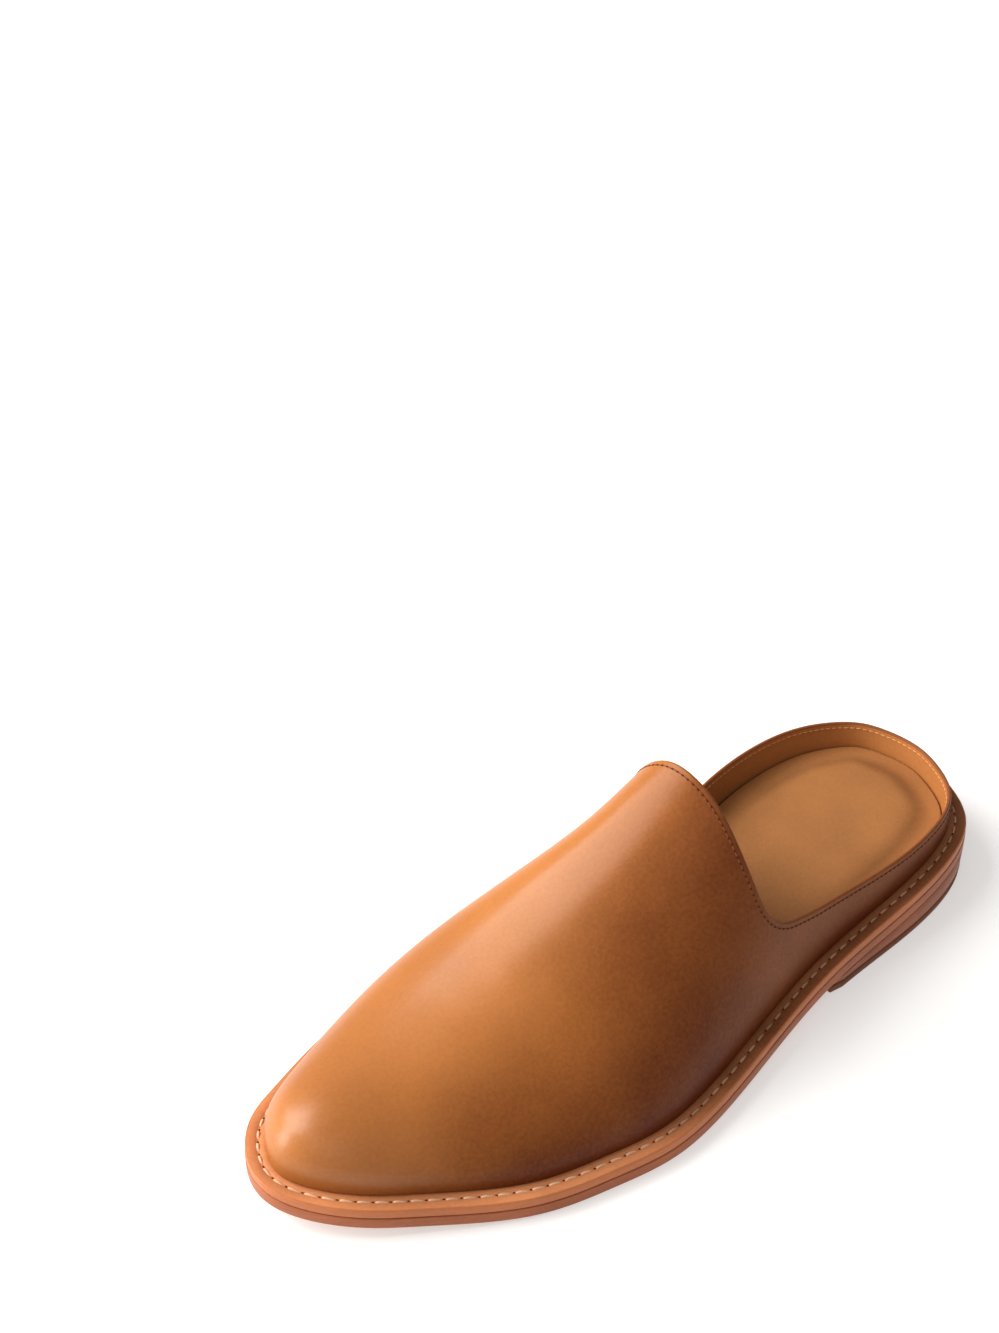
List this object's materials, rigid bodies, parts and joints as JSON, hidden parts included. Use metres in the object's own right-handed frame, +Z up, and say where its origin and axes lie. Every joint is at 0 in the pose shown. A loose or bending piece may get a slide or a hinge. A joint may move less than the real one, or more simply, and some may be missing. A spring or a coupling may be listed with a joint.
{
  "type": "mule shoe",
  "caption": "Left leather mule: almond toe, high smooth vamp, low wall round an open heel, stitched welt, leather sole with arch and toe spring, low stacked heel, cushioned insole.",
  "frame": {"origin": "middle of the footprint of the whole shoe, on the floor", "axes": "+X runs along the shoe from heel to toe, +Y to the wearer's left, which is the outer side of this left shoe, and +Z up"},
  "size_m": [0.28, 0.1052, 0.0846],
  "materials": {
    "upper_leather": "smooth semi-matte tan calf leather with a lighter tan lining",
    "welt_leather": "natural tan welt strip with pale waxed stitches",
    "sole_leather": "vegetable-tanned sole leather with a stained, burnished edge",
    "stacked_leather": "stacked leather layers, burnished red-brown",
    "lift_rubber": "dark brown rubber top lift",
    "insole_leather": "soft tan leather sock over a padded heel"
  },
  "bodies": {
    "root": {"upper": "upper_leather", "welt": "welt_leather", "outsole": "sole_leather", "heel_stack": "stacked_leather", "top_lift": "lift_rubber", "insole": "insole_leather"}
  },
  "joints": []
}
